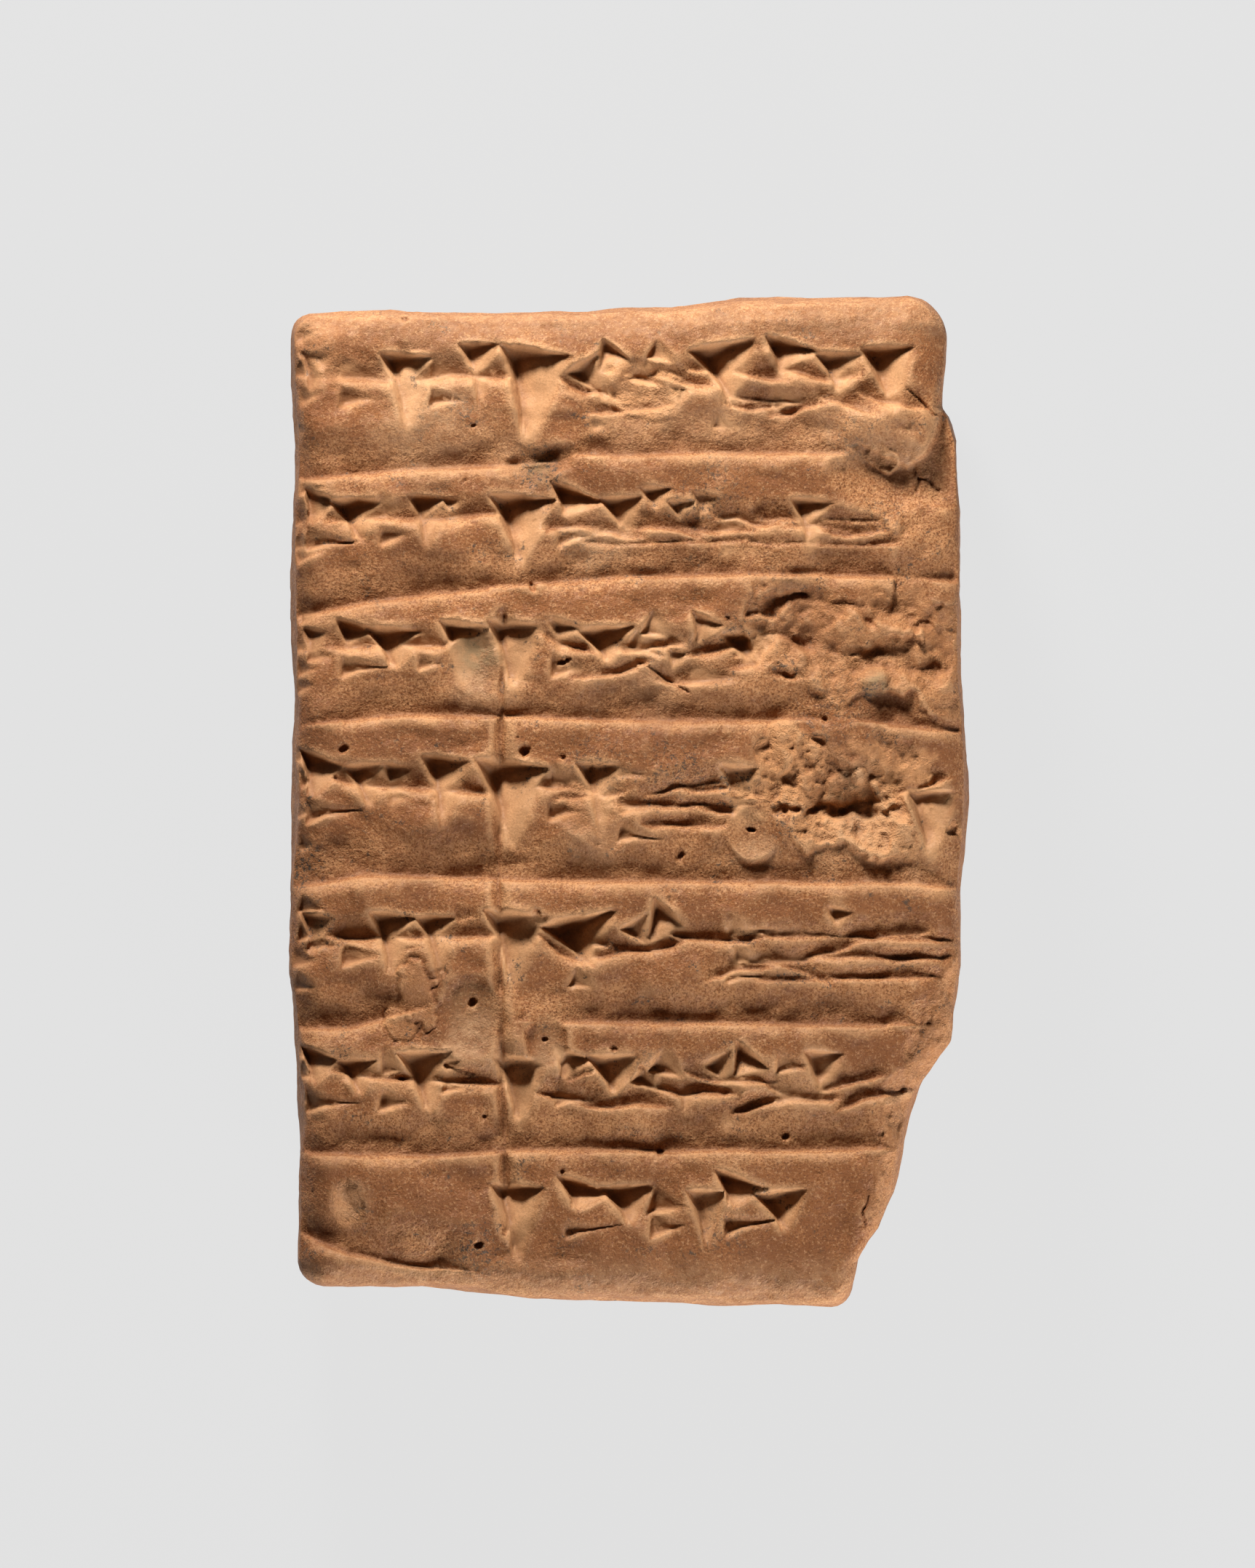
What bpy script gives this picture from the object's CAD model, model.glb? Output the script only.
"""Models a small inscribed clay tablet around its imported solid, with the wear of the real one.

The form follows the solid: the same cushion and outline, with the rows of strokes, ruled lines and
dents worked out again at a finer grain, and a few of the marks changed. Lengths in the tables are
millimetres, on the front as it is read, from its middle.
"""

import itertools
import math

import bmesh
import bpy
import numpy as np
from bpy.props import FloatProperty, FloatVectorProperty, IntProperty, PointerProperty
from bpy.types import Operator, Panel, PropertyGroup
from mathutils import Matrix, Vector


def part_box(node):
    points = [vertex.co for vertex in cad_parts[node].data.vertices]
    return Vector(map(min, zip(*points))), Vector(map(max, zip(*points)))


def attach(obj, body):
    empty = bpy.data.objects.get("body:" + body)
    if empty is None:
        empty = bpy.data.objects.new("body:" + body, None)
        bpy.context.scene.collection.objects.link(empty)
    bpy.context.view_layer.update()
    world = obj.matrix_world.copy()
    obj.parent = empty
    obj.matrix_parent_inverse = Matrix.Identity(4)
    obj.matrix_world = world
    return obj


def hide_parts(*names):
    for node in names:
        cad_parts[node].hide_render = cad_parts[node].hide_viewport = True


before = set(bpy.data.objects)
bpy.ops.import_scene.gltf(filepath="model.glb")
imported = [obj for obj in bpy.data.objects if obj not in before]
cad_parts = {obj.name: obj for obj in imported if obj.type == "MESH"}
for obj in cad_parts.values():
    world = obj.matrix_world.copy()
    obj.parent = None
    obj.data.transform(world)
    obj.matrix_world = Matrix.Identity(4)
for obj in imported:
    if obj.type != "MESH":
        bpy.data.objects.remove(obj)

bl_info = {
    "name": "Clay Tablet",
    "version": (1, 0, 0),
    "blender": (4, 5, 0),
    "location": "View3D > Sidebar > Tablet",
    "description": "Models an inscribed clay tablet, with its strokes, wear and broken corner",
    "category": "Mesh",
}

MM = 0.001
NODE = "tablet"
CAD_LOW, CAD_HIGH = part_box(NODE)
WIDTH, LENGTH, THICKNESS = [side / MM for side in CAD_HIGH - CAD_LOW]
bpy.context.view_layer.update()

# ---- The cushion of clay ------------------------------------------------------------------------

# How far each corner is rounded as the front is seen.
CORNERS = {"top_left": 1.0, "top_right": 2.2, "bottom_left": 1.5, "bottom_right": 1.1}
# How far each side lies inside the full rectangle: (places along the side, insets).
INSET_LEFT = ((-25, -16.5, -11, -9, 5, 12, 18, 25), (0.4, 0.42, 0.16, 0, 0.12, 0.03, 0.25, 0.12))
INSET_RIGHT = (
    (-25, -22.6, -21, -18.4, -15.5, -14, -12.7, -11.8, -8.3, -4, 1, 8.3, 13, 17.6, 18.8, 19.3, 21.3, 25),
    (5.9, 5.4, 4.35, 3.36, 2.67, 2.13, 1.35, 0.8, 0.33, 0.2, 0, 0.26, 0.38, 0.5, 0.85, 1.2, 1.05, 1.0),
)
INSET_TOP = ((-17, -14.5, -12, -6, -2, 3, 5.5, 9, 17), (1.0, 1.03, 0.78, 0.93, 0.88, 0.6, 0.22, 0.05, 0))
INSET_BOTTOM = ((-17, -10, -6.5, -3, 2, 5, 17), (0.95, 0.88, 0.65, 0.32, 0.1, 0, 0))

# ---- The writing --------------------------------------------------------------------------------


def post(x, y, head, length, lean=0.0):
    return (x, y, head, length, lean, True)


def bar(x, y, head, length, lean=90.0):
    return (x, y, head, length, lean, False)


# Made-up groups of strokes that stand for no sign of any script. A stroke's place is a share of its
# cell, y counted down, and then come the breadth of its head, its length and its lean in degrees. A
# post's length is a share of the cell's height and a bar's of its width.
MARKS = {
    "gap": [],
    "lead": [post(0.5, 0.24, 2.7, 0.74, -2)],
    "post": [post(0.5, 0.25, 2.1, 0.6, 4)],
    "nick": [post(0.35, 0.26, 1.1, 0.34), bar(0.1, 0.46, 0.8, 0.8, 84)],
    "ledge": [post(0.26, 0.22, 1.9, 0.3, -14), post(0.74, 0.26, 2.1, 0.38, 8), bar(0, 0.62, 0.95, 1, 94)],
    "stack": [bar(0, 0.36, 0.9, 0.9), bar(0.04, 0.54, 0.95, 0.95, 91), bar(0, 0.72, 0.9, 0.85, 89)],
    "shelf": [bar(0, 0.5, 0.95, 1, 91), bar(0.02, 0.7, 0.9, 0.9, 89)],
    "rake": [post(0.16, 0.2, 1.3, 0.28), post(0.5, 0.24, 1.2, 0.25, 10), post(0.84, 0.2, 1.4, 0.3, -6)],
    "crow": [post(0.2, 0.3, 1.7, 0.5, 38), post(0.78, 0.24, 1.8, 0.42, -32), bar(0.3, 0.8, 0.8, 0.6, 96)],
    "slash": [
        bar(0.05, 0.36, 1.2, 0.85, 56), bar(0.28, 0.26, 1.2, 0.8, 62), post(0.86, 0.5, 1.1, 0.36, -12)
    ],
    "kite": [post(0.4, 0.22, 2.9, 0.5, 18), bar(0.3, 0.76, 0.9, 0.7, 72)],
    "gate": [bar(0, 0.36, 1.1, 0.6, 84), bar(0, 0.6, 1, 0.62, 92), post(0.78, 0.24, 1.9, 0.6, 3)],
}
HEAD_SLANT = 0.12  # how far the right end of a head lies below its left end, as a share of its width
LEFT_START = -15.9
LEAD_CELL = 3.2
# (top, foot, x of the lead stroke, marks of the left field, marks of the right field), each mark with
# the width of its cell.
ROWS = [
    (24, 16.8, -4.5, "nick:1.7 gate:4.4 gate:3.2", "crow:3.2 slash:2.6 kite:4 ledge:4.6 post:2.4"),
    (16.4, 10.6, -5.2, "ledge:3.6 gate:3.2 nick:1.6", "ledge:4.4 rake:3.6 shelf:3.8 post:1.6"),
    (10.1, 4.2, -5.5, "nick:1.7 ledge:3.8 gate:3.2", "ledge:3.8 slash:3 ledge:4.2"),
    (3.9, -3.4, -5.6, "ledge:4 nick:1.8 post:2.4", "gate:3.4 stack:5 post:2.2"),
    (-3.9, -10.4, -5.5, "nick:1.8 gate:3.4 post:2.6", "kite:3.4 crow:3.6 gap:1.6 stack:9.6"),
    (-10.9, -16.9, -5.3, "ledge:3.6 gate:3 nick:1.8", "ledge:4 slash:3.2 crow:3.6 gate:3.2"),
    (-17.3, -23.2, -5.4, "", "gap:0.6 ledge:4.2 gate:3.6 ledge:3.8"),
]
# Strokes that stand alone: (x, y, lean, breadth of the head, length).
LONE_STROKES = [(14.8, 0.7, 4, 2.8, 4.6), (10.4, -5.2, -8, 1.5, 1.3)]
BACK_START = -14.6
BACK_ROWS = [
    (23.2, 18.2, "ledge:4.4 crow:3.8 rake:4 post:2.6 gate:4.2 stack:4.6"),
    (18.2, 12.8, "gate:4.2 slash:3.8 ledge:4.6 post:2.8"),
]
# The ruled lines between the rows, each broken where the clay is worn.
RULES = [
    [(-15.9, 15.8), (-11, 16.2), (-5.4, 16.5)],
    [(-0.8, 16.95), (6, 17.1), (13, 17.05)],
    [(-16.2, 9.0), (-12.8, 9.75), (-6.9, 10.4)],
    [(-3.9, 10.6), (0, 11.0), (9, 11.15), (16.2, 10.8)],
    [(-13.9, 3.9), (-11, 4.25), (0, 3.95), (7.2, 3.95)],
    [(12.8, 3.7), (16.2, 3.4)],
    [(-16.2, -4.2), (-13, -3.65), (0, -3.95), (14, -4.0), (16.2, -4.3)],
    [(-16.2, -11.15), (-13.6, -11.1), (-12, -10.7)],
    [(-3.3, -10.85), (6, -10.9), (12.6, -11.0)],
    [(-15.6, -17.25), (-11, -17.4), (-5, -17.15), (11.3, -17.1)],
    [(-15.9, -21.2), (-13.8, -22.2), (-11.5, -22.7), (-9.6, -22.9)],
]
UPRIGHT_RULE = [(-5.9, -21), (-6.2, -12), (-6.35, -4), (-6.1, 9.0)]
# The edge of the lobe of clay that folds over at the upper right.
FOLD = [(16.6, 19.3), (15.5, 18.8), (15.1, 17.5), (14.6, 16.7), (13.7, 16.2), (12.8, 16.7)]
# The broken right end of the second row, which stands above the bare clay beside it.
ROW_END = [(13.0, 16.6), (13.2, 15.2), (13.6, 13.4), (13.2, 11.4)]
# Long bars pressed along the rows.
BARS = [
    [(7.0, -6.6), (15.3, -6.9)], [(7.4, -7.7), (15.4, -7.8)], [(6.6, -8.8), (14.8, -8.7)],
    [(1.4, 0.7), (7.2, 0.5)], [(1.8, -0.3), (7.0, -0.3)], [(1.2, -1.2), (5.0, -1.3)],
    [(-1.8, 13.4), (4.2, 13.6)], [(4.8, 13.9), (12.2, 13.7)],
    [(-2.0, 12.5), (5.6, 12.7)], [(6.0, 12.6), (12.8, 12.5)],
]
BACK_RULES = [[(-15.6, 18.2), (12, 17.9)], [(-15.6, 12.1), (12, 12.4)]]
# How each kind of line lies in the clay: how far the clay falls to it from above and rises below it,
# its depth, how much it wavers, and whether its fall is a broad smooth one.
RULE_PRESS = {"above": 2.8, "below": 0.15, "waver": 0.05}
BACK_RULE_PRESS = {"above": 2.0, "below": 0.2}
LEDGE_PRESS = {"above": 1.2, "below": 0.1, "depth": 0.55}
BAR_PRESS = {"above": 0.8, "below": 0.12, "depth": 0.4}
UPRIGHT_PRESS = {"above": 0.5, "below": 0.13, "depth": 0.65}
FOLD_PRESS = {"above": 3.4, "below": 0.3, "depth": 0.95, "broad": True}
ROW_END_PRESS = {"above": 3.0, "below": 0.4, "depth": 0.5, "waver": 0.3, "broad": True}
FAINT_PER_ROW = 9

# ---- Damage and dirt ----------------------------------------------------------------------------

# Finger-tip dents: (x, y, half width, half height, depth).
DENTS = [
    (-7.7, -10.6, 1.75, 2.2, 0.38), (-7.6, 6.7, 1.7, 1.8, 0.4), (6.1, -1.6, 1.6, 1.6, 0.42),
    (-4.0, -11.8, 1.15, 1.5, 0.33),
]
# Holes left by lost grits and straw: (x, y, radius, depth).
HOLES = [
    (6.05, -1.45, 0.28, 0.8), (-7.65, -9.9, 0.2, 0.45), (-4.1, -11.7, 0.17, 0.4), (-7.4, -21.8, 0.24, 0.3),
    (8.3, 10.1, 0.45, 0.25), (9.7, 3.9, 0.22, 0.3), (-5.0, 2.4, 0.27, 0.5), (-5.4, 3.1, 0.12, 0.2),
    (-3.2, 2.1, 0.2, 0.4), (-1.8, 1.6, 0.14, 0.2), (2.6, -2.7, 0.25, 0.3), (1.5, -17.3, 0.2, 0.4),
    (0.6, -13.1, 0.26, 0.35), (-3.25, -18.2, 0.15, 0.3), (-7.05, -15.5, 0.14, 0.2),
    (-11.1, -13.65, 0.18, 0.3), (-0.7, -12.2, 0.15, 0.2), (-14.0, 2.5, 0.28, 0.3), (-14.4, 1.1, 0.15, 0.2),
    (-4.5, -5.5, 0.2, 0.3), (-4.7, 10.4, 0.25, 0.4), (-8.8, 2.9, 0.15, 0.2), (7.7, -16.4, 0.2, 0.3),
    (-7.6, 18.4, 0.12, 0.2), (-8.0, 15.7, 0.14, 0.2), (-11.0, 23.6, 0.22, 0.4), (-3.0, 6.9, 0.24, 0.5),
    (-3.25, 6.75, 0.2, 0.4),
]
# Crumbled places: the line of the bottom, how far the clay slopes down to it from above and rises
# again below, its depth, its coarseness and how fresh the clay looks there.
CRUMBLED = [
    ([(9.2, -0.3), (11.0, -0.5), (12.2, -0.8)], 3.9, 2.3, 0.75, 0.34, 1.0),
    (
        [(9.0, -0.5), (9.8, -0.2), (10.4, -0.55), (11.0, -0.3), (11.5, -0.75), (12.1, -0.6)],
        0.8, 0.5, 1.1, 0.3, 1.0,
    ),
    ([(7.2, 9.9), (9.4, 9.8)], 1.2, 2.0, 0.42, 0.16, 0.35),
    ([(6.8, 8.2), (10.6, 6.9), (15.5, 6.2)], 2.4, 1.9, 0.45, 0.42, 0.4),
    ([(12.8, 9.2), (16.6, 8.5)], 1.4, 1.0, 0.4, 0.22, 0.4),
    ([(12.2, 16.9), (12.7, 16.5)], 0.6, 0.6, 0.2, 0.2, 0.3),
    ([(-15.7, 22.6), (-14.7, 21.0)], 0.9, 0.9, 0.2, 0.15, 0.3),
    ([(-13.9, -19.1), (-13.6, -20.1)], 0.7, 0.7, 0.25, 0.08, 0.7),
    ([(-5.0, 16.2), (-3.6, 16.5)], 1.1, 0.9, 0.35, 0.12, 0.3),
    ([(-0.3, 20.7), (1.4, 20.0)], 1.2, 1.2, 0.3, 0.25, 0.6),
    ([(-2.8, -0.2), (-0.6, -1.4)], 1.0, 1.0, 0.15, 0.15, 0.3),
]
# Lumps that stand in the crumbled places: (x, y, half width, half height, how far they stand proud).
LUMPS = [
    (11.3, 1.2, 0.8, 0.9, 0.5), (11.9, 5.9, 1.0, 1.1, 0.6), (9.4, 2.4, 0.8, 0.7, 0.25),
    (14.4, 7.2, 1.0, 0.8, 0.35), (9.2, 6.0, 1.0, 0.8, 0.3), (13.2, 3.4, 1.2, 0.7, 0.3),
    (12.2, 18.2, 3.6, 2.3, 0.5),
]
# Flakes of skin that have lifted: (x, y, half width, half height, how far they stand proud).
FLAKES = [(-10.4, -9.5, 1.1, 1.4, 0.09), (-11.2, -10.9, 0.7, 0.7, 0.06)]
CRACKS = [
    [(13.6, 20.2), (14.4, 19.5), (15.1, 18.9), (16.0, 18.95)],
    [(14.0, 16.3), (14.2, 15.7), (14.15, 15.1)],
    [(14.2, 15.8), (14.8, 15.7), (15.2, 15.2)],
    [(-9.0, -13.0), (-7.6, -13.4)],
    [(0.5, 6.8), (1.6, 6.1), (3.0, 5.3)],
    [(11.6, -19.4), (11.5, -20.1), (11.65, -20.8)],
]
# Places where dirt has settled: (x, y, radius, which layer, how much).
STAINS = [
    (-7.7, -10.0, 1.4, "green", 0.35), (-7.6, 7.2, 1.1, "green", 0.9), (6.0, -0.9, 0.7, "green", 0.35),
    (6.3, -2.4, 1.2, "dust", 0.8), (-4.0, -11.3, 0.8, "green", 0.3), (-7.5, -11.9, 1.6, "dust", 1.0),
    (-7.6, 5.7, 1.2, "dust", 1.0), (-3.9, -12.6, 0.9, "dust", 0.9), (-7.4, -21.8, 1.6, "soil", 1.0),
    (-8.0, 19.2, 0.9, "soil", 1.0), (-4.4, 16.3, 1.3, "soil", 1.0), (-4.4, 16.0, 1.0, "green", 0.6),
    (-2.0, 12.0, 1.8, "soil", 0.7), (2.3, 1.6, 1.6, "soil", 0.9), (-16.0, -3.0, 1.2, "soil", 1.0),
    (4.0, 15.0, 1.8, "soil", 0.8), (10.7, 17.8, 1.2, "soil", 0.8), (9.5, 4.5, 2.2, "soil", 0.6),
    (11.3, 1.2, 0.8, "dust", 1.0), (12.0, 5.7, 0.8, "green", 0.9), (11.6, 5.4, 0.8, "soil", 1.0),
    (4.5, -21.0, 1.4, "soil", 0.9), (8.0, -1.0, 1.3, "soil", 0.9), (-1.5, 2.0, 1.6, "soil", 0.7),
    (-5.6, -13.0, 1.2, "soil", 0.6), (1.0, -12.6, 1.2, "soil", 0.5), (7.0, 10.0, 2.0, "soil", 0.4),
    (-13.6, -19.5, 0.9, "dust", 0.7), (-1.5, 12.4, 1.6, "dust", 0.8), (-6.0, 16.9, 1.5, "dust", 0.5),
    (10.5, -1.5, 2.0, "dust", 0.5), (-9.0, 23.0, 3.0, "dust", 0.3), (0.0, 18.9, 2.2, "dust", 0.4),
    (-9.5, 19.0, 3.2, "dust", 0.75), (5.0, 18.5, 2.6, "dust", 0.5), (10.5, 18.2, 2.4, "dust", 0.5),
    (10.2, 1.5, 1.7, "aged", 1.0), (11.0, -0.5, 0.9, "aged", 1.0), (9.0, 7.6, 1.6, "aged", 0.7),
    (12.6, 4.6, 1.5, "aged", 0.6), (-10.6, 11.4, 2.4, "aged", 0.5), (-10.5, -2.1, 2.8, "aged", 0.45),
    (-14.1, -9.3, 1.8, "aged", 0.6), (1.1, -9.3, 2.8, "aged", 0.45), (-14.1, -19.5, 2.6, "aged", 0.4),
    (1.1, 2.9, 1.8, "aged", 0.5), (11.8, -1.6, 2.0, "dust", 0.8), (13.6, -2.7, 1.6, "dust", 0.6),
    (1.1, 6.3, 2.4, "dust", 0.6), (1.9, 19.6, 1.8, "dust", 0.6), (13.3, 17.1, 2.0, "dust", 0.6),
    (-1.9, -2.1, 1.6, "dust", 0.5), (8.0, -14.2, 1.4, "dust", 0.5), (8.4, 9.8, 1.0, "aged", 0.8),
    (-4.2, 15.8, 1.6, "aged", 0.9), (-9.5, 19.0, 0.9, "soil", 0.7), (12.4, 13.9, 1.2, "soil", 0.6),
]
# The broken corner at the foot: the edge of the break, how steeply it falls away, and what is left of
# that fall after weathering.
BREAK_EDGE = [(11.2, -25.5), (11.5, -19), (11.9, -15), (13.6, -10.6), (16.3, -4.5), (18, -0.7)]
BREAK_SLOPE = math.tan(math.radians(47))
BREAK_WEATHERED = 0.85


# ---- What a user would change -------------------------------------------------------------------


def length(name, description, millimetres):
    return FloatProperty(
        name=name, description=description, default=millimetres * MM, precision=5, unit="LENGTH"
    )


def share(name, description, value, most=1.0):
    return FloatProperty(
        name=name, description=description, default=value, min=0, max=most, subtype="FACTOR"
    )


def colour(name, description, red, green, blue):
    return FloatVectorProperty(
        name=name, description=description, default=(red, green, blue), size=3, min=0, max=1, subtype="COLOR"
    )


def angle(name, description, degrees):
    return FloatProperty(
        name=name, description=description, default=math.radians(degrees), subtype="ANGLE"
    )


def power(name, description, watts):
    return FloatProperty(name=name, description=description, default=watts, min=0, unit="POWER")


class TabletForm(PropertyGroup):
    front_dome: length("Front Dome", "How far the middle of the front stands above its edges", 0.55)
    back_dome: length("Back Dome", "How far the back bulges", 2.3)
    drying_flat: length("Drying Flat", "Depth of the flat spot in the crown of the back", 0.35)
    front_rounding: length("Front Edge Rounding", "Height of the rounding of the front's edges", 1.3)
    back_rounding: length("Back Edge Rounding", "Height of the rounding of the back's edges", 3.6)
    side_bulge: share("Side Bulge", "How far the sides draw in at the faces", 0.02)
    grid: length("Grid", "Spacing of the mesh on the plain sides", 0.4)
    fine_cuts: IntProperty(
        name="Fine Cuts", description="Cuts in each grid square of the inscribed faces", default=3
    )
    most_triangles: IntProperty(
        name="Most Triangles", description="Size of the finished mesh", default=192000
    )


class TabletWriting(PropertyGroup):
    stylus: share("Stylus", "Breadth of the stylus against the table of marks", 1.32, 2)
    depth: share("Stroke Depth", "Depth of a stroke as a share of its head", 0.37)
    swell: share("Swell", "How far the pressed clay rises beside a stroke", 0.55)
    rule_depth: length("Rule Depth", "Depth of the ruled lines", 0.58)


class TabletClay(PropertyGroup):
    skin: colour("Skin", "The fired skin of the clay", 0.27, 0.094, 0.026)
    pale: colour("Pale Clay", "The rubbed and pressed clay", 0.57, 0.3, 0.135)
    mellow: colour("Mellow Skin", "The lighter grains of the skin", 0.5, 0.23, 0.09)
    rubbed: colour("Rubbed Clay", "The pale clay of rubbed edges and dusty places", 0.6, 0.34, 0.17)
    deep: colour("Deep Clay", "The darker clay in patches", 0.18, 0.06, 0.018)
    broken: colour("Broken Clay", "The fresh orange clay of the breaks", 0.62, 0.29, 0.115)
    dirt: colour("Dirt", "Grey soil caught in hollows", 0.048, 0.037, 0.026)
    green: colour("Green Stain", "The greenish grey of the stained dents", 0.27, 0.18, 0.088)
    roughness: share("Roughness", "Roughness of the skin", 0.68)


class TabletStage(PropertyGroup):
    floor: colour("Floor", "The pale floor and backdrop", 0.76, 0.76, 0.76)
    key_watts: power("Key Light", "Power of the key light", 0.515)
    key_height: angle("Key Height", "How high the key light stands", 27)
    key_turn: angle("Key Turn", "How far left of the top the key light stands", 11)
    bounce_watts: power("Bounce Light", "Power of the light thrown back from the foot", 0.82)
    bounce_height: angle("Bounce Height", "How high the bounce light stands", 9)
    bounce_turn: angle("Bounce Turn", "How far left of the top the bounce light stands", 206)
    fill: share("Fill", "Brightness of the light from all around", 0.03)
    view_height: length("View Height", "Height of what the camera sees", 77.7)


# ---- Small tools --------------------------------------------------------------------------------


def wobble(n):
    """A repeatable number between -1 and 1 for whole number n."""
    s = math.sin(n * 12.9898) * 43758.5453
    return 2 * (s - math.floor(s)) - 1


def smooth_step(low, high, value):
    t = np.clip((value - low) / (high - low), 0, 1)
    return t * t * (3 - 2 * t)


def grain(points, size, seed):
    """Smooth noise between -1 and 1 over points of any number of dimensions, with lumps of a given size."""
    cell = points / size
    low = np.floor(cell).astype(np.int64)
    t = cell - low
    t = t * t * (3 - 2 * t)
    total = np.zeros(len(points))
    primes = (73856093, 19349663, 83492791)
    for corner in itertools.product((0, 1), repeat=points.shape[1]):
        weight = np.prod(np.where(corner, t, 1 - t), axis=1)
        n = np.full(len(points), seed * 2654435, dtype=np.int64)
        for place, prime in zip((low + corner).T, primes):
            n ^= place * prime
        n = (n ^ (n >> 13)) * 1274126177
        n = (n ^ (n >> 16)) & 0xFFFF
        total += weight * (n / 32767.5 - 1)
    return total


def turned(points, angle):
    """The points turned about the upright axis."""
    x, y, *rest = points.T
    c, s = math.cos(angle), math.sin(angle)
    return np.stack([c * x - s * y, s * x + c * y, *rest], axis=1)


def rough(points, size, seed, octaves=3, gain=0.5):
    """Noise of several sizes, each half the last, weaker by the gain and turned another way."""
    return sum(grain(turned(points, 0.6 + 1.1 * n), size / 2**n, seed + n) * gain**n for n in range(octaves))


def facets(points, size, seed):
    """Flat chips tilted at random, with small steps between them, over points of a plane."""
    cell = np.floor(points / size).astype(np.int64)
    best = np.full(len(points), np.inf)
    height = np.zeros(len(points))
    for shift in itertools.product((-1, 0, 1), repeat=2):
        corner = cell + shift
        jitter, tilt = (
            np.stack([grain(corner + 0.0, 1.0, seed + n) for n in pair], axis=1) for pair in ((0, 1), (2, 3))
        )
        away = points / size - corner - 0.5 - 0.45 * jitter
        far = (away**2).sum(axis=1)
        closer = far < best
        best = np.where(closer, far, best)
        height = np.where(closer, (away * tilt).sum(axis=1) + 0.35 * tilt[:, 0], height)
    return height


# ---- Maps of a face -----------------------------------------------------------------------------

PITCH = 0.06  # spacing of the maps
REACH = (18.0, 26.5)  # how far the maps go from the middle


class FaceMap:
    """Height and finish over one face as it is read, on an even grid. Heights are millimetres."""

    def __init__(self):
        across = np.arange(-REACH[0], REACH[0] + PITCH, PITCH)
        along = np.arange(-REACH[1], REACH[1] + PITCH, PITCH)
        self.x, self.y = np.meshgrid(across, along)
        self.points = np.stack([self.x.ravel(), self.y.ravel()], axis=1)
        self.height = np.zeros_like(self.x)
        self.drop = np.zeros_like(self.x)
        self.layers = {}

    def noise(self, size, seed, octaves=3, gain=0.5, stretch=1.0):
        return rough(self.points * (1, 1 / stretch), size, seed, octaves, gain).reshape(self.x.shape)

    def window(self, x0, x1, y0, y1):
        """The part of the grid between two corners."""
        rows = slice(max(0, int((y0 + REACH[1]) / PITCH)), max(0, int((y1 + REACH[1]) / PITCH) + 2))
        columns = slice(max(0, int((x0 + REACH[0]) / PITCH)), max(0, int((x1 + REACH[0]) / PITCH) + 2))
        return rows, columns

    def blur(self, layer, radius):
        """The layer through three box averages, close to a soft round brush."""
        half = max(1, round(radius / PITCH))
        for _ in range(3):
            for axis in (0, 1):
                pad = [(0, 0), (0, 0)]
                pad[axis] = (half + 1, half)
                sums = np.cumsum(np.pad(layer, pad, mode="edge"), axis=axis)
                if axis == 0:
                    layer = (sums[2 * half + 1:] - sums[:-2 * half - 1]) / (2 * half + 1)
                else:
                    layer = (sums[:, 2 * half + 1:] - sums[:, :-2 * half - 1]) / (2 * half + 1)
        return layer

    def sample(self, layer, x, y):
        """The layer at any places, by straight lines between grid points."""
        column = np.clip((x + REACH[0]) / PITCH, 0, layer.shape[1] - 1.001)
        row = np.clip((y + REACH[1]) / PITCH, 0, layer.shape[0] - 1.001)
        c, r = column.astype(int), row.astype(int)
        s, t = column - c, row - r
        low = layer[r, c] * (1 - s) + layer[r, c + 1] * s
        high = layer[r + 1, c] * (1 - s) + layer[r + 1, c + 1] * s
        return low * (1 - t) + high * t


def wedge_pit(x, y, stroke, depth_share):
    """Depth of one press of the stylus: a three-sided head with a steep top wall, and a narrow tail."""
    px, py, lean, head, tail_length = stroke
    tx, ty = math.sin(math.radians(lean)), -math.cos(math.radians(lean))
    down = (x - px) * tx + (y - py) * ty
    over = -(x - px) * ty + (y - py) * tx

    def pyramid(width, reach, deepest, shift, keel):
        """A three-sided pit, 0 at its edges and 1 where it is deepest, a keel's width off its middle."""
        corners = [(0, shift - width / 2), (HEAD_SLANT * width, shift + width / 2), (reach, shift)]
        low = np.full(np.shape(x), np.inf)
        for n in range(3):
            (d0, o0), (d1, o1) = corners[n], corners[(n + 1) % 3]
            ad, ao = d1 - d0, o1 - o0
            side = ad * (over - o0) - ao * (down - d0)
            keel_side = ad * (shift + keel - o0) - ao * (deepest - d0)
            share = np.clip(side / keel_side, 0, None)
            low = np.minimum(low, share**0.6 if n == 0 else share)
        return low

    reach = min(tail_length, 1.5 * head)
    deepest = min(0.22 * head, 0.3 * reach)
    broad = pyramid(width=head, reach=reach, deepest=deepest, shift=0, keel=-0.28 * head)
    deepest = 0.4 * min(head, tail_length)
    narrow = pyramid(0.36 * head, tail_length, deepest, shift=-0.12 * head, keel=-0.06 * head)
    return depth_share * head * np.maximum(broad, 0.85 * narrow)


def set_marks(marks, start, top, foot, seed, stylus):
    """Strokes (x, y, lean, head, length) of a string of marks set side by side."""
    pen = start
    strokes = []
    for cell, mark in enumerate(marks.split()):
        name, size = mark.split(":")
        width, height = float(size), top - foot
        for n, (x, y, head, reach, lean, upright) in enumerate(MARKS[name]):
            key = seed * 100 + cell * 10 + n
            strokes.append((
                pen + x * width,
                top - y * height + 0.26 * wobble(key),
                lean + 5 * wobble(key + 3),
                stylus * head * (1 + 0.22 * wobble(key + 5)),
                reach * (height if upright else width) * (1 + 0.1 * wobble(key + 7)),
            ))
        pen += width
    return strokes


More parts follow.
